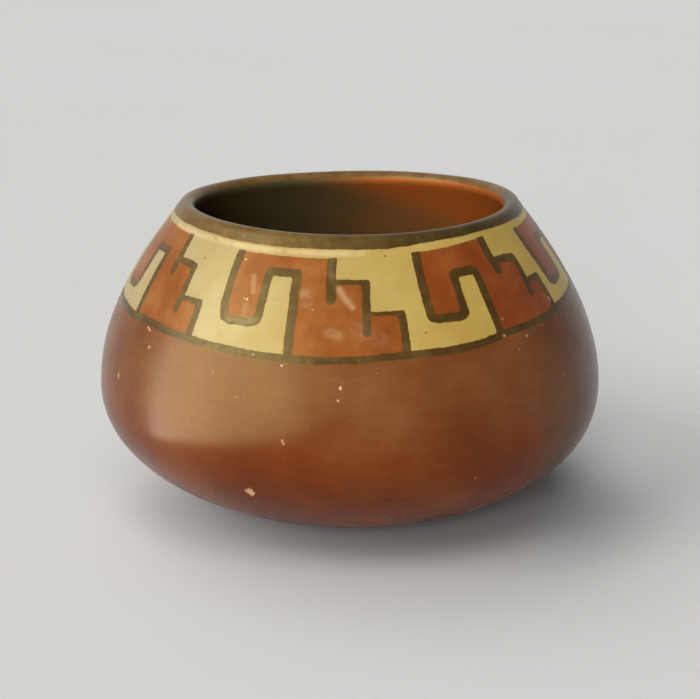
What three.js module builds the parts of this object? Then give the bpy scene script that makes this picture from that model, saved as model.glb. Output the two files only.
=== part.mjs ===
// A small hand-built earthenware bowl, burnished and slip-painted, about 140 mm across.
// Its widest ring sits low. The underside is a shallow round with a small flat spot that it stands on,
// and the upper wall leans in to a wide round mouth with a plain rounded lip.
// Units are millimetres and +Z is up. The origin is on the ground, under the middle of the widest ring.
// The side with the best-kept painting faces -Y.
import * as THREE from 'three';
import { mergeVertices } from 'three/addons/utils/BufferGeometryUtils.js';

// Driving dimensions
const bellyRadius = 70; // the widest ring, outside
const bellyHeight = 35.4; // height of the widest ring above the ground
const lipHeight = 86.4; // top of the lip, taken around the mouth
const lipRadius = 44.8; // from the axis to the middle of the lip
const lipThickness = 4.6; // the lip is a full round of this thickness
const restRadius = 22; // the flat spot that the bowl stands on
const floorThickness = 6.5; // the clay above the flat spot
const wallThickness = 4.9; // the clay at the widest ring

// Form of the wall: where it sets off, and how far each curve runs straight before it turns,
// as a share of the width or height that the curve spans
const undersideSlope = 11.6; // degrees, where the underside leaves the flat spot
const shoulderSlope = 54.2; // degrees, where the wall runs into the lip
const undersideReach = 0.755; // of the width between the flat spot and the widest ring
const bellyReachDown = 0.4; // of the height below the widest ring
const bellyReachUp = 0.453; // of the height above the widest ring
const shoulderReach = 0.163; // of the straight line from the widest ring to the lip

// Unevenness of the hand work
const lipSaddle = 0.6; // the mouth rides up by this at both sides and dips in front and behind
const lipSaddleTurn = 12; // degrees, how far the saddle is turned towards the right
const lipTilt = 0.35; // and the mouth is this much higher on the right
const footDrift = 0.8; // the flat spot sits this far to the right
const mouthDrift = -0.4; // and the mouth this far to the left

// How finely the solid is divided
const turnSteps = 80;
const undersideSteps = 11;
const upperSteps = 10;
const lipSteps = 6;

const degrees = Math.PI / 180;

// Unit vector that stands square to a wall which rises at the given slope, on its outer side
function outwards(slope) {
  return new THREE.Vector2(Math.sin(slope), Math.cos(slope));
}

// The underside, from the edge of the flat spot to the widest ring
function undersideCurve() {
  const slope = undersideSlope * degrees;
  const reach = undersideReach * (bellyRadius - restRadius);
  const start = new THREE.Vector2(restRadius, 0);
  const end = new THREE.Vector2(bellyRadius, bellyHeight);
  return new THREE.CubicBezierCurve(
    start,
    new THREE.Vector2(reach * Math.cos(slope), reach * Math.sin(slope)).add(start),
    new THREE.Vector2(bellyRadius, bellyHeight * (1 - bellyReachDown)),
    end,
  );
}

// The middle of the round lip
function lipCentre() {
  return new THREE.Vector2(lipRadius, lipHeight - lipThickness / 2);
}

// The upper wall, from the widest ring to the place where the lip starts to turn over
function upperCurve() {
  const slope = shoulderSlope * degrees;
  const start = new THREE.Vector2(bellyRadius, bellyHeight);
  const end = outwards(slope).multiplyScalar(lipThickness / 2).add(lipCentre());
  const reach = shoulderReach * start.distanceTo(end);
  return new THREE.CubicBezierCurve(
    start,
    new THREE.Vector2(bellyRadius, bellyHeight + bellyReachUp * (end.y - bellyHeight)),
    new THREE.Vector2(reach * Math.cos(slope), -reach * Math.sin(slope)).add(end),
    end,
  );
}

// Points on the outer side of the wall, each with the point behind it on the inner side
function wallPoints(curve, steps, thicknessFrom, thicknessTo) {
  const pairs = [];
  for (let step = 0; step <= steps; step += 1) {
    const along = step / steps;
    const outer = curve.getPoint(along);
    const tangent = curve.getTangent(along);
    const thickness = THREE.MathUtils.lerp(thicknessFrom, thicknessTo, along);
    const inner = new THREE.Vector2(-tangent.y, tangent.x).multiplyScalar(thickness).add(outer);
    pairs.push({ outer, inner });
  }
  return pairs;
}

// The turn of the lip, without its two ends, which belong to the walls
function lipPoints() {
  const points = [];
  const start = shoulderSlope * degrees;
  for (let step = 1; step < lipSteps; step += 1) {
    const turn = start - (Math.PI * step) / lipSteps;
    points.push(outwards(turn).multiplyScalar(lipThickness / 2).add(lipCentre()));
  }
  return points;
}

// The whole outline: out along the ground, up the outside, over the lip and down the inside to the axis
function outline() {
  const underside = wallPoints(undersideCurve(), undersideSteps, floorThickness, wallThickness);
  const upper = wallPoints(upperCurve(), upperSteps, wallThickness, lipThickness).slice(1);
  const walls = underside.concat(upper);
  return [
    new THREE.Vector2(0, 0),
    ...walls.map((pair) => pair.outer),
    ...lipPoints(),
    ...walls.map((pair) => pair.inner).reverse(),
    new THREE.Vector2(0, floorThickness),
  ];
}

// Moves each point by the unevenness of the hand work, which leaves the flat spot flat
function workByHand(geometry) {
  const position = geometry.getAttribute('position');
  const saddleTurn = lipSaddleTurn * degrees;
  for (let index = 0; index < position.count; index += 1) {
    const x = position.getX(index);
    const y = position.getY(index);
    const z = position.getZ(index);
    const turn = Math.atan2(x, -y);
    const footShare = 1 - THREE.MathUtils.smoothstep(z, 0, bellyHeight);
    const mouthShare = THREE.MathUtils.smoothstep(z, bellyHeight, lipHeight);
    const drift = footDrift * footShare + mouthDrift * mouthShare;
    const lift = lipTilt * Math.sin(turn) - lipSaddle * Math.cos(2 * (turn - saddleTurn));
    position.setXYZ(index, x + drift, y, z + mouthShare * lift);
  }
}

// The bowl: one closed shell of fired clay, hollow and open at the mouth
function makeBowl() {
  const turned = new THREE.LatheGeometry(outline(), turnSteps).rotateX(Math.PI / 2);
  turned.deleteAttribute('normal');
  turned.deleteAttribute('uv');
  const geometry = mergeVertices(turned, 1e-4);
  workByHand(geometry);
  geometry.computeVertexNormals();
  const clay = new THREE.MeshStandardMaterial({ color: 0x7a4526, roughness: 0.42, metalness: 0 });
  const bowl = new THREE.Mesh(geometry, clay);
  bowl.name = 'bowl';
  return bowl;
}

const group = new THREE.Group();
group.add(makeBowl());

export default group;
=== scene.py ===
# A small hand-built earthenware bowl, burnished and slip-painted with a step-fret band.
# Units are metres and +Z is up. The side with the best-kept painting faces -Y.
import math
import random

import bpy
import numpy as np
from mathutils.kdtree import KDTree
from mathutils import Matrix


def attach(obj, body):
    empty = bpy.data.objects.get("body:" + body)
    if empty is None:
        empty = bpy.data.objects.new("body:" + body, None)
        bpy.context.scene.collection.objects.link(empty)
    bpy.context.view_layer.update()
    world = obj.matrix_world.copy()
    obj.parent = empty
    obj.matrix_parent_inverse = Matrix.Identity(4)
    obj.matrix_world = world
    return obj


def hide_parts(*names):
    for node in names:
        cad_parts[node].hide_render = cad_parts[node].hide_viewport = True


mm = 0.001
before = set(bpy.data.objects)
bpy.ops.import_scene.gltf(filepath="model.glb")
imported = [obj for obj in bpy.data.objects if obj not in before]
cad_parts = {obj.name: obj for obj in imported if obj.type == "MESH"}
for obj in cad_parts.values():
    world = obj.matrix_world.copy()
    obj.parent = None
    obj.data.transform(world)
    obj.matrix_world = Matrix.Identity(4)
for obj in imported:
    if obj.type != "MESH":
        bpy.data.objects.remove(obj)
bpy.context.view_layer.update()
scene = bpy.context.scene
print("frame loaded")


# Small helpers
def linear(hexColour):  # an sRGB hex value as linear colour with full alpha
    channels = [int(hexColour[place:place + 2], 16) / 255 for place in (1, 3, 5)]
    return [c / 12.92 if c <= 0.04045 else ((c + 0.055) / 1.055) ** 2.4 for c in channels] + [1.0]


def addNode(tree, kind, settings, sockets):
    # adds one node; a socket's value is a constant or another node's output to link
    node = tree.nodes.new(kind)
    for name, value in settings.items():
        setattr(node, name, value)
    for name, value in sockets.items():
        if isinstance(value, bpy.types.NodeSocket):
            tree.links.new(value, node.inputs[name])
        else:
            node.inputs[name].default_value = value
    return node


def deselectAll():
    if bpy.context.mode != "OBJECT":
        bpy.ops.object.mode_set(mode="OBJECT")
    bpy.ops.object.select_all(action="DESELECT")


def smoothstep(value, low, high):
    share = np.clip((value - low) / (high - low), 0, 1)
    return share * share * (3 - 2 * share)


# Camera
viewpoint = {
    "distance": 520 * mm,  # from the lens to the aim
    "elevation": 0.278,  # radians above the table
    "aimHeight": 43 * mm,
    "roll": 0.004,  # radians
    "lens": 94.62,  # mm, on a sensor 36 mm wide
}
deselectAll()
bpy.ops.object.camera_add(
    location=(
        0,
        -viewpoint["distance"] * math.cos(viewpoint["elevation"]),
        viewpoint["aimHeight"] + viewpoint["distance"] * math.sin(viewpoint["elevation"]),
    ),
    rotation=(math.pi / 2 - viewpoint["elevation"], 0, 0),
)
camera = bpy.context.object
camera.rotation_euler.rotate_axis("Z", viewpoint["roll"])
camera.data.lens = viewpoint["lens"]
camera.data.sensor_width = 36
camera.data.clip_start = 0.01
scene.camera = camera
scene.view_settings.view_transform = "Standard"
print("camera placed")


# Floor and light
studio = {
    "floorTones": ("#A9A9A7", "#AEADAC"),
    "floorRoughness": 0.75,
    "room": "#D6D7D5",
    "roomLight": 0.03,  # what the pale room adds to the lamps
    "roomGloss": (0.62, 1.2),  # how bright it is in the gloss, at the sides and behind the bowl
    "roomBehind": (0.6, 0.95),  # and how far back it passes from the one to the other
    "roomSeen": 0.62,  # and past the floor's edge
    # each lamp: degrees from the front round to the left, degrees above the table, spread, strength
    "lamps": {
        "keyFromLeft": (60, 31, 40, 2.4),
        "fillFromFront": (10, 18, 22, 2.35),
        "topFromFront": (5, 60, 40, 1.2),
        "backFromBehind": (160, 50, 40, 0.85),
    },
    "floorWash": (112, 52, 60, 1.6),  # a lamp from above that lights the floor alone
    # the tall white window on the left, which the gloss shows, and its light along the table:
    # degrees round to the left, metres ahead and aside that way, level, size across and along
    "window": (59, 0.75, 0.0, 0.46, (1.1, 0.9)),
    "windowFoot": (99, 0.425, 0.3, 0.004, (0.5, 0.65)),
    "windowGlow": 5.7,
}


def addGlossPanel(name, angle, ahead, aside, level, size, lying=False):
    # a softbox that only the gloss shows
    side = math.radians(angle)
    bpy.ops.object.light_add(
        type="AREA",
        location=(
            -ahead * math.sin(side) + aside * math.cos(side),
            -ahead * math.cos(side) - aside * math.sin(side),
            level,
        ),
        rotation=(math.pi if lying else math.pi / 2, 0, -side),
    )
    panel = bpy.context.object
    panel.name = name
    panel.data.shape = "RECTANGLE"
    panel.data.size, panel.data.size_y = size
    panel.data.energy = studio["windowGlow"] * math.pi * size[0] * size[1]
    panel.visible_camera = False
    panel.visible_diffuse = False


deselectAll()
bpy.ops.mesh.primitive_plane_add(size=14, location=(0, 0, 0))
floor = bpy.context.object
floor.name = "studioFloor"

# matte painted board: even and pale, a little uneven in tone
board = bpy.data.materials.new("matte painted studio board")
board.use_nodes = True
tree = board.node_tree
boardShader = tree.nodes["Principled BSDF"]
boardPlace = addNode(tree, "ShaderNodeTexCoord", {}, {})
boardCloud = addNode(tree, "ShaderNodeTexNoise", {}, {
    "Vector": boardPlace.outputs["Object"], "Scale": 3.0, "Detail": 2.0})
boardTone = addNode(tree, "ShaderNodeMix", {"data_type": "RGBA"}, {
    0: boardCloud.outputs["Fac"],
    6: linear(studio["floorTones"][0]),
    7: linear(studio["floorTones"][1]),
})
tree.links.new(boardTone.outputs[2], boardShader.inputs["Base Color"])
boardShader.inputs["Roughness"].default_value = studio["floorRoughness"]
boardShader.inputs["Specular IOR Level"].default_value = 0.0  # fully matt
floor.data.materials.append(board)

addGlossPanel("windowPanel", *studio["window"])
addGlossPanel("windowFootPanel", *studio["windowFoot"], lying=True)


def addLamp(name, side, height, spread, strength):
    bpy.ops.object.light_add(type="SUN", rotation=(
        math.pi / 2 - math.radians(height), 0, -math.radians(side)))
    lamp = bpy.context.object
    lamp.name = name
    lamp.data.angle = math.radians(spread)
    lamp.data.energy = strength
    lamp.visible_glossy = False
    return lamp


for name, values in studio["lamps"].items():
    addLamp(name, *values)
floorWash = addLamp("floorWash", *studio["floorWash"])
floorAlone = bpy.data.collections.new("floor alone")
floorAlone.objects.link(floor)
floorWash.light_linking.receiver_collection = floorAlone

world = bpy.data.worlds.new("studio room")
scene.world = world
world.use_nodes = True
tree = world.node_tree
roomRays = addNode(tree, "ShaderNodeLightPath", {}, {})
roomSide = addNode(tree, "ShaderNodeTexCoord", {}, {})
roomAhead = addNode(tree, "ShaderNodeSeparateXYZ", {}, {0: roomSide.outputs["Generated"]})
roomGloss = addNode(tree, "ShaderNodeMapRange", {}, {
    "Value": roomAhead.outputs["Y"],
    "From Min": studio["roomBehind"][0], "From Max": studio["roomBehind"][1],
    "To Min": studio["roomGloss"][0], "To Max": studio["roomGloss"][1]})
roomGlow = addNode(tree, "ShaderNodeMix", {"data_type": "FLOAT"}, {
    0: roomRays.outputs["Is Glossy Ray"],
    2: studio["roomLight"],
    3: roomGloss.outputs[0],
})
roomSeen = addNode(tree, "ShaderNodeMix", {"data_type": "FLOAT"}, {
    0: roomRays.outputs["Is Camera Ray"],
    2: roomGlow.outputs[0],
    3: studio["roomSeen"],
})
roomShader = tree.nodes["Background"]
roomShader.inputs["Color"].default_value = linear(studio["room"])
tree.links.new(roomSeen.outputs[0], roomShader.inputs["Strength"])
print("floor and lamps placed")


# The bowl's form: the same sizes and curves as the solid
bowlForm = {
    "bellyRadius": 70.0,  # all in mm
    "bellyHeight": 35.4,
    "lipHeight": 86.4,
    "lipRadius": 44.8,
    "lipThickness": 4.6,
    "restRadius": 22.0,
    "floorThickness": 6.5,
    "wallThickness": 4.9,
    "undersideSlope": 11.6,  # degrees
    "shoulderSlope": 54.2,
    "undersideReach": 0.755,
    "bellyReachDown": 0.4,
    "bellyReachUp": 0.453,
    "shoulderReach": 0.163,
    "lipSaddle": 0.6,
    "lipSaddleTurn": 12.0,  # degrees
    "lipTilt": 0.35,
    "footDrift": 0.8,
    "mouthDrift": -0.4,
    "turnSteps": 504,  # around
    "bandRow": 0.6,  # height of one row of faces in the painted band
    "bodyRow": 2.9,  # and below it
    "handWork": 0.2,  # how far the surface wanders from a true round
    "handWorkSize": 19.0,
}
form = bowlForm


def bezier(corners, along):
    a, b, c, d = (np.array(corner, float) for corner in corners)
    t = along[:, None]
    point = a * (1 - t) ** 3 + 3 * b * t * (1 - t) ** 2 + 3 * c * t * t * (1 - t) + d * t ** 3
    tangent = (b - a) * (1 - t) ** 2 + 2 * (c - b) * t * (1 - t) + (d - c) * t * t
    return point, tangent / np.linalg.norm(tangent, axis=1)[:, None]


def outlinePoints():
    # outline from the middle of the mouth side down the outside, as (radius, height, way down the wall)
    along = np.linspace(1, 0, 1200)
    slope = math.radians(form["shoulderSlope"])
    half = form["lipThickness"] / 2
    lipCentre = np.array([form["lipRadius"], form["lipHeight"] - half])
    belly = np.array([form["bellyRadius"], form["bellyHeight"]])
    top = lipCentre + half * np.array([math.sin(slope), math.cos(slope)])
    reach = form["shoulderReach"] * np.linalg.norm(top - belly)
    upper, upperTangent = bezier((
        belly,
        (belly[0], belly[1] + form["bellyReachUp"] * (top[1] - belly[1])),
        top + reach * np.array([math.cos(slope), -math.sin(slope)]),
        top,
    ), along)
    slope = math.radians(form["undersideSlope"])
    rest = np.array([form["restRadius"], 0.0])
    reach = form["undersideReach"] * (belly[0] - rest[0])
    lower, lowerTangent = bezier((
        rest,
        rest + reach * np.array([math.cos(slope), math.sin(slope)]),
        (belly[0], belly[1] * (1 - form["bellyReachDown"])),
        belly,
    ), along)
    outer = np.vstack([upper, lower[1:]])
    tangent = np.vstack([upperTangent, lowerTangent[1:]])
    thick = np.concatenate([
        form["wallThickness"] + (form["lipThickness"] - form["wallThickness"]) * along,
        (form["floorThickness"] + (form["wallThickness"] - form["floorThickness"]) * along)[1:],
    ])
    inner = outer + np.stack([-tangent[:, 1], tangent[:, 0]], 1) * thick[:, None]
    return outer, inner, lipCentre


def withWay(points, start, sign):
    steps = np.linalg.norm(np.diff(points, axis=0), axis=1)
    way = start + sign * np.concatenate([[0], np.cumsum(steps)])
    return np.column_stack([points, way])


outerWall, innerWall, lipCentre = outlinePoints()
outerWay = withWay(outerWall, 0.0, 1)  # way down the outside from the lip's turn, in mm
lipLength = math.pi * form["lipThickness"] / 2
innerWay = withWay(innerWall, -lipLength, -1)  # and down the inside, counted below zero
wallEnd = outerWay[-1, 2]


def atWay(table, way):
    order = np.argsort(table[:, 2])
    return [(np.interp(w, table[order, 2], table[order, 0]),
             np.interp(w, table[order, 2], table[order, 1])) for w in way]


bandEnd = 34.2
bandRows = np.arange(0, bandEnd, form["bandRow"])
bodyRows = np.linspace(bandEnd, wallEnd, round((wallEnd - bandEnd) / form["bodyRow"]) + 1)
innerEnd = innerWay[-1, 2]
rimRows = np.arange(-lipLength, -lipLength - 6.4, -0.8)
insideRows = np.linspace(rimRows[-1] - 1.5, innerEnd, 30)
lipTurns = math.radians(form["shoulderSlope"]) - np.linspace(0, math.pi, 13)[1:-1]

chain = [(radius, 0.0) for radius in (0.0, 5.5, 11.0, 16.5)]
chain += atWay(outerWay, np.concatenate([bandRows, bodyRows]))[::-1]
chain += [(lipCentre[0] + form["lipThickness"] / 2 * math.sin(turn),
           lipCentre[1] + form["lipThickness"] / 2 * math.cos(turn)) for turn in lipTurns]
chain += atWay(innerWay, np.concatenate([rimRows, insideRows]))
innerFloor = chain[-1]
chain += [(innerFloor[0] * share, form["floorThickness"] + (innerFloor[1] - form["floorThickness"]) * share)
          for share in (0.75, 0.5, 0.25, 0.0)]

deselectAll()
bpy.ops.mesh.primitive_plane_add(size=mm, location=(0, 0, 0))
bowl = bpy.context.object
bowl.name = "paintedBowl"
bpy.ops.object.mode_set(mode="EDIT")
bpy.ops.mesh.select_mode(type="VERT")
bpy.ops.mesh.select_all(action="SELECT")
bpy.ops.mesh.merge(type="CENTER")
for before, after in zip(chain[:-1], chain[1:]):  # draws the section, one extruded edge at a time
    bpy.ops.mesh.extrude_vertices_move(TRANSFORM_OT_translate={
        "value": ((after[0] - before[0]) * mm, 0, (after[1] - before[1]) * mm)})
bpy.ops.object.mode_set(mode="OBJECT")
turned = bowl.modifiers.new("turned", "SCREW")
turned.angle = 2 * math.pi
turned.steps = turned.render_steps = form["turnSteps"]
turned.use_merge_vertices = True
turned.merge_threshold = 2e-6
bpy.ops.object.modifier_apply(modifier="turned")
bpy.ops.object.mode_set(mode="EDIT")
bpy.ops.mesh.select_all(action="SELECT")
bpy.ops.mesh.remove_doubles(threshold=2e-6)
bpy.ops.mesh.normals_make_consistent(inside=False)
bpy.ops.object.mode_set(mode="OBJECT")
print("bowl spun,", len(bowl.data.polygons), "faces")


# Chips, flakes and dots: degrees around, mm down the wall, lobes (across, down, radius in mm), depth, tone
bowlMarks = {
    "roomAround": 0.4,  # mm of finer faces around each mark
    "edge": 0.16,  # mm over which a chip reaches its depth
    "places": [
        (-22.8, 69.8, [(0.3, -0.75, 0.8), (0.35, 0.35, 1.0), (0.1, 1.2, 0.6), (-0.75, -0.2, 0.7),
                       (-0.6, 0.5, 0.5)], 0.35, 0.8),
        (-13.7, 53.3, [(-0.25, -0.45, 0.36), (0.15, 0.25, 0.34)], 0.2, 0.75),
        (-2.0, 39.0, [(0, 0, 0.46)], 0.22, 0.95),
        (-2.5, 42.2, [(0, 0, 0.36)], 0.18, 0.85),
        (-63.0, 47.2, [(0, -0.25, 0.42), (0, 0.3, 0.4)], 0.22, 0.9),
        (-52.2, 36.2, [(0, 0, 0.4)], 0.2, 0.8),
        (-54.4, 31.9, [(-0.9, -0.35, 0.32), (-0.3, -0.05, 0.36), (0.4, 0.25, 0.34)], 0.18, 0.7),
        (-22.0, 32.0, [(0, 0, 0.34)], 0.16, 0.9),
        (-15.0, 34.0, [(0, 0, 0.42), (0.7, -0.35, 0.2), (1.3, -0.3, 0.16)], 0.18, 0.8),
        (-24.5, 43.2, [(0, 0, 0.24)], 0.12, 0.5),
        (-31.0, 37.8, [(0, 0, 0.4)], 0.08, 0.3),
        (27.8, 65.5, [(0, 0, 0.3)], 0.15, 0.6),
        (41.8, 33.8, [(0, 0, 0.28)], 0.14, 0.55),
        (55.2, 44.0, [(0, 0, 0.34)], 0.16, 0.6),
        (38.6, 29.5, [(0, 0, 0.5)], 0.12, 0.45),
        (45.5, 31.0, [(0, 0, 0.5)], 0.12, 0.4),
        (39.8, 25.2, [(0, 0, 0.36)], 0.1, 0.4),
        (52.6, 29.8, [(-0.8, -0.2, 0.2), (-0.2, 0.1, 0.2), (0.5, 0.3, 0.2),
                      (1.1, 0.3, 0.16)], 0.1, 0.4),
        (60.1, 24.2, [(0, -0.3, 0.45), (0.1, 0.4, 0.45)], 0.14, 0.6),
        (-30.8, 7.5, [(0, 0, 0.42)], 0.12, 0.75),
        (-27.0, 18.0, [(-0.45, -0.1, 0.3), (0.35, 0.05, 0.46)], 0.12, 0.8),
        (-19.7, 5.8, [(0, 0, 0.34)], 0.06, -1.0),
        (10.7, 4.5, [(0, 0, 0.34)], 0.06, -1.0),
        (18.2, 25.7, [(0, 0, 0.34)], 0.05, -0.9),
        (15.2, 28.0, [(0, 0, 0.2)], 0.05, -0.8),
        (-45.0, 9.4, [(0, 0, 0.36)], 0.05, -0.7),
        (66.0, 14.0, [(0, 0, 0.3)], 0.05, -0.6),
        (-13.2, 3.4, [(-1.6, 0.2, 0.2), (-1.1, -0.2, 0.24), (-0.6, 0.3, 0.2), (-0.1, -0.1, 0.26),
                      (0.5, 0.3, 0.2), (1.0, -0.2, 0.22), (1.7, 0.2, 0.18),
                      (2.3, 0.0, 0.16)], 0.05, 0.42),
        (-11.6, 3.9, [(-0.5, 0.1, 0.14), (0.2, -0.1, 0.16), (0.9, 0.1, 0.14),
                      (1.4, -0.3, 0.13)], 0.04, -0.7),
        (22.0, 29.6, [(-1.6, 0.1, 0.2), (-0.5, 0.25, 0.24), (0.8, 0.1, 0.22),
                      (2.0, -0.05, 0.2)], 0.06, 0.3),
        (135.0, 52.0, [(0, 0, 0.6), (0.6, 0.3, 0.4)], 0.25, 0.85),
        (172.0, 63.0, [(0, 0, 0.4)], 0.2, 0.8),
        (-140.0, 44.0, [(0, 0, 0.5), (-0.4, 0.4, 0.35)], 0.22, 0.8),
        (-112.0, 74.0, [(0, 0, 0.36)], 0.18, 0.7),
    ],
}


def surfacePlaces(vertices):
    # each vertex's angle in degrees, its way along the outline in mm, and its distance off the outline
    radius = np.hypot(vertices[:, 0], vertices[:, 1]) / mm
    height = vertices[:, 2] / mm
    footWay = np.column_stack([np.linspace(form["restRadius"], 0, 50), np.zeros(50),
                               wallEnd + form["restRadius"] - np.linspace(form["restRadius"], 0, 50)])
    turns = math.radians(form["shoulderSlope"]) - np.linspace(0, math.pi, 160)
    lipWay = np.column_stack([
        lipCentre[0] + form["lipThickness"] / 2 * np.sin(turns),
        lipCentre[1] + form["lipThickness"] / 2 * np.cos(turns),
        -np.linspace(0, lipLength, 160),
    ])
    shares = np.linspace(1, 0, 50)
    insideFloor = np.column_stack([
        innerFloor[0] * shares,
        form["floorThickness"] + (innerFloor[1] - form["floorThickness"]) * shares,
        innerEnd - innerFloor[0] * (1 - shares),
    ])
    outline = np.vstack([outerWay, footWay, lipWay, innerWay, insideFloor])
    tree = KDTree(len(outline))
    for index, (r, z, way) in enumerate(outline):
        tree.insert((r, z, 0), index)
    tree.balance()
    nearest = np.array([tree.find((r, z, 0))[1] for r, z in zip(radius, height)])
    angle = np.degrees(np.arctan2(vertices[:, 0], -vertices[:, 1]))
    return angle, outline[nearest, 2], outline[nearest, :2], radius, height


def angleApart(angle, centre):
    return (angle - centre + 180) % 360 - 180


def readVertices(mesh):
    flat = np.empty(len(mesh.vertices) * 3)
    mesh.vertices.foreach_get("co", flat)
    return flat.reshape(-1, 3)


def selectFacesAround(mesh, extra, share):
    centres = np.empty(len(mesh.polygons) * 3)
    mesh.polygons.foreach_get("center", centres)
    centres = centres.reshape(-1, 3)
    chosen = np.zeros(len(centres), bool)
    for angle, way, lobes, depth, tone in bowlMarks["places"]:
        radius, height = atWay(outerWay, [way])[0]
        reach = max(math.hypot(across, down) + size for across, down, size in lobes) + extra
        turn = math.radians(angle)
        place = np.array([radius * math.sin(turn), -radius * math.cos(turn), height]) * mm
        apart = np.linalg.norm(centres - place, axis=1) / mm
        around = np.array([math.cos(turn), math.sin(turn), 0])
        level = np.abs((centres - place) @ around) / mm
        rise = np.sqrt(np.maximum(apart ** 2 - level ** 2, 0))
        row = form["bandRow"] if way < bandEnd else form["bodyRow"] / share
        chosen |= (level < reach) & (rise < reach + row / 2)
    mesh.vertices.foreach_set("select", np.zeros(len(mesh.vertices), bool))
    mesh.edges.foreach_set("select", np.zeros(len(mesh.edges), bool))
    mesh.polygons.foreach_set("select", chosen)
    return int(chosen.sum())


for cuts, extra, share in ((2, bowlMarks["roomAround"], 1), (2, 0.1, 3)):
    selectFacesAround(bowl.data, extra, share)
    bpy.ops.object.mode_set(mode="EDIT")
    bpy.ops.mesh.select_mode(type="FACE")
    bpy.ops.mesh.subdivide(number_cuts=cuts)
    bpy.ops.object.mode_set(mode="OBJECT")
print("faces refined at the chips,", len(bowl.data.polygons), "faces")

# refined vertices go back onto the round wall, then everything follows the unevenness of the hand work
vertices = readVertices(bowl.data)
angle, way, onOutline, radius, height = surfacePlaces(vertices)
turn = np.radians(angle)
outside = (way > 0.5) & (way < wallEnd - 0.5)
tangentR = np.gradient(outerWay[:, 0], outerWay[:, 2])
tangentZ = np.gradient(outerWay[:, 1], outerWay[:, 2])
normalR = -np.interp(way, outerWay[:, 2], tangentZ)
normalZ = np.interp(way, outerWay[:, 2], tangentR)
offWall = np.where(outside, (radius - onOutline[:, 0]) * normalR + (height - onOutline[:, 1]) * normalZ, 0)
radius = radius - offWall * normalR
height = height - offWall * normalZ

chipDepth = np.zeros(len(vertices))
markTone = np.zeros(len(vertices))
dice = random.Random(7)
for markAngle, markWay, lobes, depth, tone in bowlMarks["places"]:
    across = np.radians(angleApart(angle, markAngle)) * radius
    down = way - markWay
    near = (np.abs(across) < 4) & (np.abs(down) < 4)
    phase = dice.uniform(0, 6.28)
    inside = np.full(len(vertices), -9.0)
    for lobeAcross, lobeDown, size in lobes:
        dx = across[near] - lobeAcross
        dy = down[near] - lobeDown
        bearing = np.arctan2(dy, dx)
        ragged = size * (1 + 0.12 * np.sin(3 * bearing + phase) + 0.08 * np.sin(5 * bearing + 2 * phase))
        inside[near] = np.maximum(inside[near], ragged - np.hypot(dx, dy))
    share = np.clip(inside / bowlMarks["edge"], 0, 1)
    chipDepth = np.maximum(chipDepth, depth * share)
    markTone = np.where(share > 0, tone * share, markTone)
radius = radius - chipDepth * normalR
height = height - chipDepth * normalZ

x = radius * np.sin(turn)
y = -radius * np.cos(turn)
footShare = 1 - smoothstep(height, 0, form["bellyHeight"])
mouthShare = smoothstep(height, form["bellyHeight"], form["lipHeight"])
x = x + form["footDrift"] * footShare + form["mouthDrift"] * mouthShare
lift = form["lipTilt"] * np.sin(turn)
lift = lift - form["lipSaddle"] * np.cos(2 * (turn - math.radians(form["lipSaddleTurn"])))
z = height + mouthShare * lift
bowl.data.vertices.foreach_set("co", (np.column_stack([x, y, z]) * mm).ravel())
bowl.data.update()

# the surface wanders a little from a true round, but not where the bowl stands
handWorked = bowl.vertex_groups.new(name="handWorked")
weights = np.round(smoothstep(height, 1.0, 9.0), 2)
for weight in np.unique(weights):
    members = np.nonzero(weights == weight)[0]
    handWorked.add(members.tolist(), float(weight), "REPLACE")
cloud = bpy.data.textures.new("hand work", "CLOUDS")
cloud.noise_scale = form["handWorkSize"] * mm
cloud.noise_depth = 1
wander = bowl.modifiers.new("handWork", "DISPLACE")
wander.texture = cloud
wander.texture_coords = "LOCAL"
wander.strength = form["handWork"] * mm
wander.mid_level = 0.5
wander.vertex_group = "handWorked"
deselectAll()
bowl.select_set(True)
bpy.context.view_layer.objects.active = bowl
bpy.ops.object.modifier_apply(modifier="handWork")
bpy.ops.object.shade_smooth()
print("bowl worked over by hand")


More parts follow.
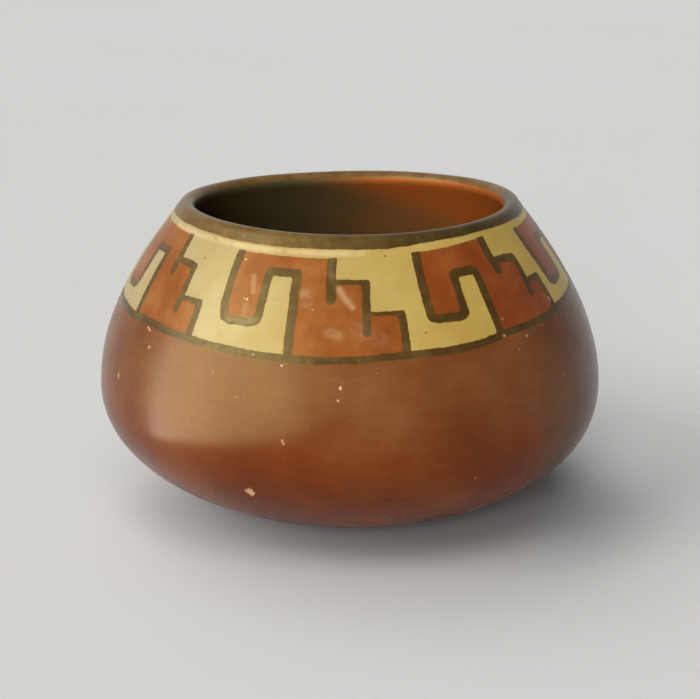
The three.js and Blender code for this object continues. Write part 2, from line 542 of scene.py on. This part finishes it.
# The painted band: degrees around, mm down the wall from the lip's turn
bowlPaint = {
    "lipBandEdge": [(-68, 2.3), (-60, 2.3), (-52, 2.4), (-44, 2.6), (-42, 2.8), (-22, 2.8), (-4, 2.6),
                    (12, 2.6), (14, 2.3), (18, 2.2), (22, 1.8), (32, 1.5), (40, 1.3), (52, 1.3),
                    (60, 1.5), (66, 1.6), (72, 1.8), (110, 2.3), (150, 2.6), (190, 2.4), (235, 2.7),
                    (270, 2.4)],
    "lineTop": [(-84, 28.2), (-76, 28.8), (-70, 29.0), (-64, 29.5), (-60, 28.9), (-54, 29.0),
                (-48, 29.6), (-39, 30.0), (-32, 30.4), (-22, 31.0), (-14, 31.2), (-6, 31.3), (2, 30.9),
                (8, 30.4), (14, 30.0), (22, 29.9), (26, 29.8), (32, 29.2), (36, 28.6), (38, 28.0),
                (42, 27.7), (50, 27.4), (56, 27.0), (63, 25.9), (70, 25.6), (76, 25.0), (80, 24.6),
                (105, 25.4), (135, 27.0), (165, 27.6), (200, 28.8), (235, 28.2), (260, 28.6)],
    "lineWidth": 2.0,
    "strokeTop": 0.25,  # a stroke starts this far above its first point, with a square end
    "fillFoot": 31.0,  # the orange runs down to here, under the lower line
    "insideBand": -2.2,  # the lip's colour ends this far before its turn ends on the inside
    # paler places in the slip, brushed thin or worn: points, reach in mm, strength
    "thinPlaces": [
        ([(-68, 3.6), (-50, 3.9), (-30, 4.0), (-12, 3.8), (4, 3.5)], 1.1, 0.6),
        ([(-26.6, 11.5), (-26.0, 13.5), (-25.4, 16)], 0.8, 0.26),
        ([(-26.8, 19.5), (-26.4, 21.5), (-26.2, 24)], 1.3, 0.2),
        ([(-2.6, 13.4), (-1.4, 15.4), (0.9, 18.4)], 1.1, 0.34),
        ([(-11.6, 15.0), (-10.6, 17.6)], 1.8, 0.2),
        ([(-4.6, 25.0), (-2.6, 25.6)], 1.9, 0.18),
        ([(2.0, 24.0), (8.0, 27.4)], 3.4, 0.08),
        ([(-30.0, 24.0), (-26.4, 24.2), (-23.6, 23.2)], 1.4, 0.2),
        ([(-4.8, 6.0), (-4.7, 10.0)], 1.2, 0.12),
    ],
    # the painted light inside, under the rim: how deep it reaches at the middle and how much deeper to the
    # right, in mm, where the painted shade passes into brown from left to right, and over what depth the
    # painted light fades
    "insideLight": {"atMiddle": 3.1, "slope": 0.42, "shadeFadesFrom": (-30, 22), "fade": (-7, 9)},
    # each panel: its leg, tick and two steps as brush lines, each with its width in mm
    "panels": [
        {
            "leg": ([(-83.2, 4.2), (-83, 12), (-82.6, 20), (-81.6, 23), (-80, 24), (-73.6, 23.8),
                     (-72, 23), (-71.5, 21), (-71.4, 11.1), (-63.6, 10.9), (-63.2, 20),
                     (-63.1, 29.6)], 2.2),
            "tick": ([(-56.4, 4.3), (-55.7, 10), (-55.5, 15.4)], 2.2),
            "stepOne": ([(-55.4, 11.2), (-47.4, 12.3), (-47.3, 19), (-47.4, 24.4)], 2.1),
            "stepTwo": ([(-47.2, 20.6), (-40.5, 20.9), (-40.2, 22.5), (-40.2, 30.2)], 2.1),
        },
        {
            "leg": ([(-33.0, 5.2), (-33.0, 12), (-32.6, 20), (-31.6, 23.2), (-30, 24), (-24.6, 24),
                     (-22.9, 23.2), (-22.4, 21.5), (-22.3, 12), (-22.2, 9.7), (-14.2, 9.7), (-14.0, 20),
                     (-13.9, 31.6)], 2.4),
            "tick": ([(-4.9, 5.2), (-4.8, 12), (-4.5, 16.6)], 2.5),
            "stepOne": ([(-4.5, 11.2), (3.4, 11.2), (4.5, 11.8), (4.4, 18), (4.1, 25.0)], 2.1),
            "stepTwo": ([(4.4, 19.7), (12.6, 19.5), (13.0, 21), (13.2, 30.8)], 2.1),
        },
        {
            "leg": ([(20, 4.2), (19.8, 10), (19.9, 16), (20.3, 21.7), (22, 22.5), (28.5, 22.5),
                     (29.7, 21.6), (29.6, 16), (29.5, 11.5), (30.5, 10.9), (36.3, 10.9), (37.1, 12),
                     (37.2, 17), (37.5, 22), (38, 28.6)], 2.4),
            "tick": ([(44.5, 2.8), (44.4, 8), (45.2, 12.6)], 2.6),
            "stepOne": ([(45.3, 9.2), (53.6, 10.5), (54, 12), (54, 16), (53.8, 20.8)], 2.3),
            "stepTwo": ([(54.4, 16.9), (60, 17.4), (60.4, 21), (61, 26)], 2.2),
        },
        {
            "leg": ([(63.6, 3.7), (64.0, 10), (65.2, 16), (65.6, 19.8), (67.4, 20.9), (73.2, 20.6),
                     (75, 19.6), (75.3, 14), (75.3, 9.5), (82.6, 9.4), (83.2, 17), (83.4, 25.2)], 2.3),
            "tick": ([(91, 3.6), (91.1, 9), (91.5, 14.4)], 2.4),
            "stepOne": ([(91.5, 9.8), (99, 10.2), (99.8, 11.6), (99.6, 22)], 2.2),
            "stepTwo": ([(99.7, 17.6), (107.0, 17.8), (107.6, 19.4), (107.8, 25.6)], 2.2),
        },
    ],
    # on the far side the same figure is repeated, each a little different,
    # by the angle where its leg starts
    "farPanels": [115.6, 168.2, 221.0],
    "farFigure": {
        "leg": ([(1.3, 4.6), (1.3, 12), (1.7, 19.4), (2.8, 22.6), (4.5, 23.4), (9.8, 23.4),
                 (11.4, 22.6), (11.9, 21), (12.0, 10.2), (19.7, 10.2), (20.1, 19), (20.3, 28.4)], 2.3),
        "tick": ([(28.6, 4.4), (28.8, 10), (29.1, 15.6)], 2.4),
        "stepOne": ([(29.1, 10.8), (37, 11.1), (37.7, 12.4), (37.6, 23.6)], 2.2),
        "stepTwo": ([(37.7, 18.8), (45.1, 19), (45.8, 20.6), (46, 28.4)], 2.2),
    },
    "farWander": 0.45,  # mm by which each point of a repeated figure strays
}


def segmentDistance(across, down, start, end):
    # distance in mm from points to a straight piece, all relative to each point's own place
    sx, sy = start
    ex, ey = end
    vx, vy = ex - sx, ey - sy
    length = vx * vx + vy * vy + 1e-9
    share = np.clip(((across - sx) * vx + (down - sy) * vy) / length, 0, 1)
    return np.hypot(across - sx - share * vx, down - sy - share * vy)


def pathDistance(angles, ways, perDegree, path, closed=False):
    best = np.full(len(angles), 99.0)
    points = list(path) + ([path[0]] if closed else [])
    for (a0, w0), (a1, w1) in zip(points[:-1], points[1:]):
        across = angleApart(angles, a0) * perDegree
        best = np.minimum(best, segmentDistance(
            across, ways, (0, w0), ((a1 - a0) * perDegree, w1)))
    return best


def insidePath(angles, ways, path):
    # even-odd test in degrees and mm
    within = np.zeros(len(angles), bool)
    centre = sum(point[0] for point in path) / len(path)
    local = angleApart(angles, centre) + centre
    for (a0, w0), (a1, w1) in zip(path, list(path[1:]) + [path[0]]):
        if w0 == w1:
            continue
        crossing = (ways > min(w0, w1)) & (ways <= max(w0, w1))
        meets = a0 + (ways - w0) * (a1 - a0) / (w1 - w0)
        within ^= crossing & (local < meets)
    return within


def aroundInterp(angles, points):
    # a value that runs smoothly round the bowl, from its points
    known = np.array(points, float)
    spread = np.vstack([known - [360, 0], known, known + [360, 0]])
    spread = spread[np.argsort(spread[:, 0])]
    return np.interp(angles, spread[:, 0], spread[:, 1])


panels = list(bowlPaint["panels"])
dice = random.Random(23)
for start in bowlPaint["farPanels"]:
    figure = {}
    stray = bowlPaint["farWander"]
    for part, (path, width) in bowlPaint["farFigure"].items():
        figure[part] = ([(start + a + dice.uniform(-stray, stray), w + dice.uniform(-stray, stray))
                         for a, w in path], width + dice.uniform(-0.15, 0.15))
    panels.append(figure)

perDegree = np.radians(1) * radius
lineTop = aroundInterp(angle, bowlPaint["lineTop"])
lineMiddle = lineTop + bowlPaint["lineWidth"] / 2
lipBandEdge = aroundInterp(angle, bowlPaint["lipBandEdge"])
insideEdge = -lipLength - bowlPaint["insideBand"]
lipEdge = way - lipBandEdge  # below zero under the lip's paint
paintEdge = np.abs(way - lineMiddle) - bowlPaint["lineWidth"] / 2  # and under the dark lines
fillEdge = np.full(len(vertices), 9.0)  # below zero under orange
inBand = (way > -0.5) & (way < 36)
bandAngle = angle[inBand]
bandWay = way[inBand]
bandScale = perDegree[inBand]
strokes = np.full(inBand.sum(), 99.0)
fills = np.full(inBand.sum(), 9.0)
for panel in panels:
    for part in ("leg", "tick", "stepOne", "stepTwo"):
        path, width = panel[part]
        away = pathDistance(bandAngle, bandWay, bandScale, path)
        squareTop = path[0][1] - bowlPaint["strokeTop"] - bandWay
        strokes = np.minimum(strokes, np.maximum(away - width / 2, squareTop))
    # the orange fills the leg, and what lies between the leg, the tick and the two steps
    leg, tick, stepOne, stepTwo = (panel[part][0] for part in ("leg", "tick", "stepOne", "stepTwo"))
    filled = leg + [(stepTwo[-1][0], bowlPaint["fillFoot"])] + stepTwo[::-1]
    filled += [(a, w) for a, w in stepOne[::-1] if w < stepTwo[0][1]]
    filled += [(a, w) for a, w in tick[::-1] if w < stepOne[0][1]]
    away = pathDistance(bandAngle, bandWay, bandScale, filled, closed=True)
    within = insidePath(bandAngle, bandWay, filled)
    fills = np.minimum(fills, np.where(within, -away, away))
paintEdge[inBand] = np.minimum(paintEdge[inBand], strokes)
fillEdge[inBand] = fills
groundEdge = way - lineMiddle  # above zero on the body below the band
withinEdge = insideEdge - way  # above zero inside the bowl, below the lip's colour
thinSlip = np.zeros(len(vertices))
for path, reach, strength in bowlPaint["thinPlaces"]:
    away = pathDistance(bandAngle, bandWay, bandScale, path)
    thinSlip[inBand] = np.maximum(thinSlip[inBand], strength * (1 - smoothstep(away, 0.25 * reach, reach)))
# inside, painted light and shade: orange under the rim on the right where the light falls, dark shade from
# the left and from the floor upwards
insideLight = bowlPaint["insideLight"]
insideLightDepth = insideLight["atMiddle"] + insideLight["slope"] * x
insideLightAndShade = 0.5 * smoothstep(x, *insideLight["shadeFadesFrom"])
insideLightAndShade = insideLightAndShade + 0.5 * smoothstep(insideLightDepth + way - insideEdge, *insideLight["fade"])

for name, values in (
    ("paintEdge", paintEdge), ("lipEdge", lipEdge), ("fillEdge", fillEdge), ("groundEdge", groundEdge),
    ("withinEdge", withinEdge), ("markTone", markTone), ("thinSlip", thinSlip), ("insideLightAndShade", insideLightAndShade),
):
    layer = bowl.data.attributes.new(name, "FLOAT", "POINT")
    layer.data.foreach_set("value", values.astype(np.float32))
print("band laid out,", len(panels), "panels")


# Burnished, slip-painted earthenware: thin clay slips brushed on and rubbed with a pebble before firing,
# which gives a soft gloss, clouded colour and brush edges that wander
bowlSlips = {
    # each slip's middle, deep and light tone; the left, right and back tones are painted light and shade,
    # set to how the light falls across the bowl from the left
    "bodyUpper": ("#65381B", "#592C13", "#714528"),
    "bodyLower": ("#5F260B", "#531D07", "#6B3213"),
    "bodyFoot": ("#6C2F11", "#60250C", "#773B19"),
    # painted shade on the body's far right
    "bodyShadedRight": ("#4F2711", "#461F0C", "#5B311A"),
    "orangeLeft": ("#7C4316", "#6E350E", "#885526"),
    "orangeRight": ("#733512", "#65290B", "#7F431C"),
    "creamLeft": ("#958153", "#8C7645", "#9F8E67"),
    "creamRight": ("#A68B46", "#9C7F3B", "#AE9653"),
    "darkLeft": ("#4C3618", "#3E2910", "#614C29"),
    "darkRight": ("#402B10", "#33200A", "#4C3819"),
    # the lip is one paint: its left and back tones are painted light, its right tone painted shade
    "lipLeft": ("#5B4420", "#4E3615", "#6A5430"),
    "lipShadedRight": ("#35260E", "#2C1D09", "#413118"),
    "lipBack": ("#5F4526", "#50361A", "#6C5435"),
    "inside": ("#704825", "#464027", "#904818"),  # brown, painted shade and painted light
    "thinSlip": "#BCA47D",
    "bareClay": "#DDAE84",
    "speck": "#3E2A14",
    "bodyRoughness": 0.27,
    "paintRoughness": 0.34,
    "insideRoughness": 0.5,
    "chipRoughness": 0.9,
    "glossTint": "#FFF6A8",
    "glossIndex": 1.35,
    # how strongly the finer cloud joins the broader one, and the range from deep to light
    "clouding": {
        "body": (0.25, 0.4, 0.98),
        "orange": (0.5, 0.4, 1.1),
        "cream": (0.4, 0.35, 1.05),
        "dark": (0.5, 0.35, 1.15),
        "inside": (0.3, 0.1, 1.2),
        "thin": (0.6, 0.45, 0.85),
    },
    "bodyMottle": 0.12,
    "thinOverDark": 0.7,  # how much of a thin place shows over the dark lines
    "glossUnevenness": (0.06, 0.03),  # of the roughness, over middle and small clouds
    # edges of the paint: softness, how far they wander and how far they fray, in mm
    "lineEdge": (0.13, 0.26, 0.28),
    "lipEdge": (0.15, 0.2, 0.2),
    "fillEdge": (0.13, 0.15, 0.24),
    "groundEdge": (0.2, 0.1, 0.1),
    "withinEdge": (0.4, 0.3, 0.2),
    # from where to where one tone passes into the next, in mm across, back, or up
    "toneWander": (22, 16),  # how far the clouds push these places, across and up
    "shadeToRight": (-34, 56),
    "lipShadeToRight": (-20, 44),
    "lipLightToBack": (-4, 16),
    "toLower": (58, 38),
    "toFoot": (34, 16),
    "shadeToFarRight": (52, 70),
    # grains of the temper: mm apart, size as a share of that,
    # and how rare and how strong the dark and the pale ones are
    "grainApart": 2.6,
    "grainSize": (0.13, 0.06),
    "darkGrains": (0.93, 0.5),
    "paleGrains": (0.965, 0.25),
    "markStrength": (0.82, -0.85),  # of pale and of dark marks
    # relief: strength and height in mm
    "paintRelief": (0.5, 0.02),
    "grainRelief": (0.3, 0.015),
    "rubRelief": (0.25, 0.02),
}
slips = bowlSlips
clay = bpy.data.materials.new("burnished slip-painted earthenware")
clay.use_nodes = True
tree = clay.node_tree
shader = tree.nodes["Principled BSDF"]
place = addNode(tree, "ShaderNodeTexCoord", {}, {}).outputs["Object"]
placeParts = addNode(tree, "ShaderNodeSeparateXYZ", {}, {0: place}).outputs


def readLayer(name):
    return addNode(tree, "ShaderNodeAttribute", {"attribute_name": name}, {}).outputs["Fac"]


def clouded(size, detail, stretch=(1, 1, 1), shift=(0, 0, 0)):
    # a cloud pattern whose patches are this many mm across
    moved = addNode(tree, "ShaderNodeMapping", {}, {
        "Vector": place, "Location": shift, "Scale": stretch})
    return addNode(tree, "ShaderNodeTexNoise", {}, {
        "Vector": moved.outputs["Vector"], "Scale": 1 / (size * mm), "Detail": detail, "Roughness": 0.55,
    }).outputs["Fac"]


broadCloud = clouded(30, 2)
middleCloud = clouded(11, 3, shift=(0.3, 0, 0))
smallCloud = clouded(4.5, 3, shift=(0.9, 0.5, 0.1))
fineCloud = clouded(1.8, 3, shift=(0, 0.4, 0))
rubbing = clouded(9, 3, stretch=(1, 1, 5), shift=(0, 0, 0.5))  # level strokes of the pebble
ragged = clouded(1.1, 3, shift=(0.7, 0.2, 0))
wandering = clouded(7, 1, shift=(0.1, 0.8, 0))


def edgeMask(layer, softness, wander, rag):
    # 1 where the layer is below zero, with an edge that wanders and frays by so many mm
    strayed = addNode(tree, "ShaderNodeMath", {"operation": "MULTIPLY_ADD"}, {
        0: wandering, 1: 2 * wander, 2: layer}).outputs[0]
    frayed = addNode(tree, "ShaderNodeMath", {"operation": "MULTIPLY_ADD"}, {
        0: ragged, 1: 2 * rag, 2: strayed}).outputs[0]
    middle = wander + rag
    return addNode(tree, "ShaderNodeMapRange", {"interpolation_type": "SMOOTHSTEP"}, {
        "Value": frayed, "From Min": middle + softness, "From Max": middle - softness,
        "To Min": 0.0, "To Max": 1.0}).outputs[0]


paintMask = edgeMask(readLayer("paintEdge"), *slips["lineEdge"])
lipMask = edgeMask(readLayer("lipEdge"), *slips["lipEdge"])
fillMask = edgeMask(readLayer("fillEdge"), *slips["fillEdge"])
bandMask = edgeMask(readLayer("groundEdge"), *slips["groundEdge"])
outerMask = edgeMask(readLayer("withinEdge"), *slips["withinEdge"])


def between(value, low, high):
    # 0 at the low value and 1 at the high one
    return addNode(tree, "ShaderNodeMapRange", {"interpolation_type": "SMOOTHSTEP"}, {
        "Value": value, "From Min": low, "From Max": high}).outputs[0]


def added(first, factor, second):
    # the first value times a factor, on top of the second
    return addNode(tree, "ShaderNodeMath", {"operation": "MULTIPLY_ADD"}, {
        0: first, 1: factor, 2: second}).outputs[0]


def times(first, second):
    return addNode(tree, "ShaderNodeMath", {"operation": "MULTIPLY"}, {0: first, 1: second}).outputs[0]


def slipColour(name, spread):
    # deep to light through the middle tone, following one of the clouds
    middle, deep, light = (linear(value) for value in slips[name])
    ramp = addNode(tree, "ShaderNodeValToRGB", {}, {"Fac": spread})
    ramp.color_ramp.elements[0].color = deep
    ramp.color_ramp.elements[1].color = light
    halfway = ramp.color_ramp.elements.new(0.5)
    halfway.color = middle
    return ramp.outputs["Color"]


def blend(mask, first, second):
    return addNode(tree, "ShaderNodeMix", {"data_type": "RGBA"}, {
        0: mask, 6: first, 7: second}).outputs[2]


# where one tone passes into the next, wandering with the clouds: painted light and shade from left to right
# and round to the back, and the tones down the body
acrossPlace = added(middleCloud, slips["toneWander"][0] * mm, placeParts["X"])
upPlace = added(middleCloud, slips["toneWander"][1] * mm, placeParts["Z"])


def passing(place, name):
    start, end = slips[name]
    return between(place, start * mm, end * mm)


shadeToRight = passing(acrossPlace, "shadeToRight")
lipShadeToRight = passing(acrossPlace, "lipShadeToRight")
shadeToFarRight = passing(acrossPlace, "shadeToFarRight")
lipLightToBack = passing(placeParts["Y"], "lipLightToBack")
toLower = passing(upPlace, "toLower")
toFoot = passing(upPlace, "toFoot")

def clouding(name, finer, broader):
    factor, low, high = slips["clouding"][name]
    return between(added(finer, factor, broader), low, high)


def twoSlips(first, second, cloud, mask):
    return blend(mask, slipColour(first, cloud), slipColour(second, cloud))


bodyCloud = clouding("body", rubbing, added(smallCloud, slips["bodyMottle"], broadCloud))
bodyColour = twoSlips("bodyUpper", "bodyLower", bodyCloud, toLower)
bodyColour = blend(toFoot, bodyColour, slipColour("bodyFoot", bodyCloud))
# painted shade darkens the body towards its far right
bodyColour = blend(shadeToFarRight, bodyColour, slipColour("bodyShadedRight", bodyCloud))
orangeCloud = clouding("orange", smallCloud, middleCloud)
# the left and right tones of the band are painted light and shade across it
orangeColour = twoSlips("orangeLeft", "orangeRight", orangeCloud, shadeToRight)
creamCloud = clouding("cream", smallCloud, broadCloud)
creamColour = twoSlips("creamLeft", "creamRight", creamCloud, shadeToRight)
darkCloud = clouding("dark", fineCloud, smallCloud)
darkColour = twoSlips("darkLeft", "darkRight", darkCloud, shadeToRight)
# the lip's tone by side is painted light and shade
lipFront = twoSlips("lipLeft", "lipShadedRight", darkCloud, lipShadeToRight)
lipColour = blend(lipLightToBack, lipFront, slipColour("lipBack", darkCloud))
# the inside's colour runs from painted shade through brown to painted light
insideColour = slipColour("inside", clouding("inside", middleCloud, readLayer("insideLightAndShade")))

bandColour = blend(fillMask, creamColour, orangeColour)
thinShare = times(readLayer("thinSlip"), clouding("thin", fineCloud, smallCloud))
outerColour = blend(bandMask, bodyColour, blend(thinShare, bandColour, linear(slips["thinSlip"])))
thinDark = blend(times(thinShare, slips["thinOverDark"]), darkColour, linear(slips["thinSlip"]))
painted = blend(paintMask, outerColour, thinDark)
lipped = blend(lipMask, painted, lipColour)
surfaceColour = blend(outerMask, insideColour, lipped)

# pale and dark grains of the temper, under half a millimetre, showing through here and there
cells = addNode(tree, "ShaderNodeTexVoronoi", {}, {
    "Vector": place, "Scale": 1 / (slips["grainApart"] * mm)})
cellShade = addNode(tree, "ShaderNodeSeparateColor", {}, {0: cells.outputs["Color"]})
grainNear = between(cells.outputs["Distance"], *slips["grainSize"])


def grainMask(shade, rarity, strength):
    rare = addNode(tree, "ShaderNodeMath", {"operation": "GREATER_THAN"}, {0: shade, 1: rarity}).outputs[0]
    return times(times(grainNear, rare), strength)


darkGrains = grainMask(cellShade.outputs[0], *slips["darkGrains"])
paleGrains = grainMask(cellShade.outputs[1], *slips["paleGrains"])
grained = blend(darkGrains, surfaceColour, linear(slips["speck"]))
grained = blend(paleGrains, grained, linear(slips["bareClay"]))

markLayer = readLayer("markTone")
paleMark = addNode(tree, "ShaderNodeMath", {"operation": "MULTIPLY", "use_clamp": True}, {
    0: markLayer, 1: slips["markStrength"][0]}).outputs[0]
darkMark = addNode(tree, "ShaderNodeMath", {"operation": "MULTIPLY", "use_clamp": True}, {
    0: markLayer, 1: slips["markStrength"][1]}).outputs[0]
marked = blend(darkMark, grained, linear(slips["speck"]))
marked = blend(paleMark, marked, linear(slips["bareClay"]))
tree.links.new(marked, shader.inputs["Base Color"])

# the burnish is glossiest on the body, duller over paint and dull in chips and inside
roughPaint = addNode(tree, "ShaderNodeMix", {"data_type": "FLOAT"}, {
    0: bandMask, 2: slips["bodyRoughness"], 3: slips["paintRoughness"]}).outputs[0]
roughOuter = addNode(tree, "ShaderNodeMix", {"data_type": "FLOAT"}, {
    0: outerMask, 2: slips["insideRoughness"], 3: roughPaint}).outputs[0]
middleShare, smallShare = slips["glossUnevenness"]
roughUneven = added(smallCloud, smallShare, added(middleCloud, middleShare, roughOuter))
roughShifted = addNode(tree, "ShaderNodeMath", {"operation": "SUBTRACT"}, {
    0: roughUneven, 1: (middleShare + smallShare) / 2}).outputs[0]
roughAll = addNode(tree, "ShaderNodeMix", {"data_type": "FLOAT"}, {
    0: paleMark, 2: roughShifted, 3: slips["chipRoughness"]}).outputs[0]
tree.links.new(roughAll, shader.inputs["Roughness"])
shader.inputs["IOR"].default_value = slips["glossIndex"]
shader.inputs["Specular Tint"].default_value = linear(slips["glossTint"])

# relief of the rubbed grain, and the brushed paint's faint thickness
relief = None
for name, pattern in (("paintRelief", paintMask), ("grainRelief", fineCloud), ("rubRelief", rubbing)):
    strength, height = slips[name]
    sockets = {"Strength": strength, "Distance": height * mm, "Height": pattern}
    if relief:
        sockets["Normal"] = relief
    relief = addNode(tree, "ShaderNodeBump", {}, sockets).outputs[0]
tree.links.new(relief, shader.inputs["Normal"])
bowl.data.materials.append(clay)
print("clay and slips mixed")

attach(bowl, "root")
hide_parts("bowl")
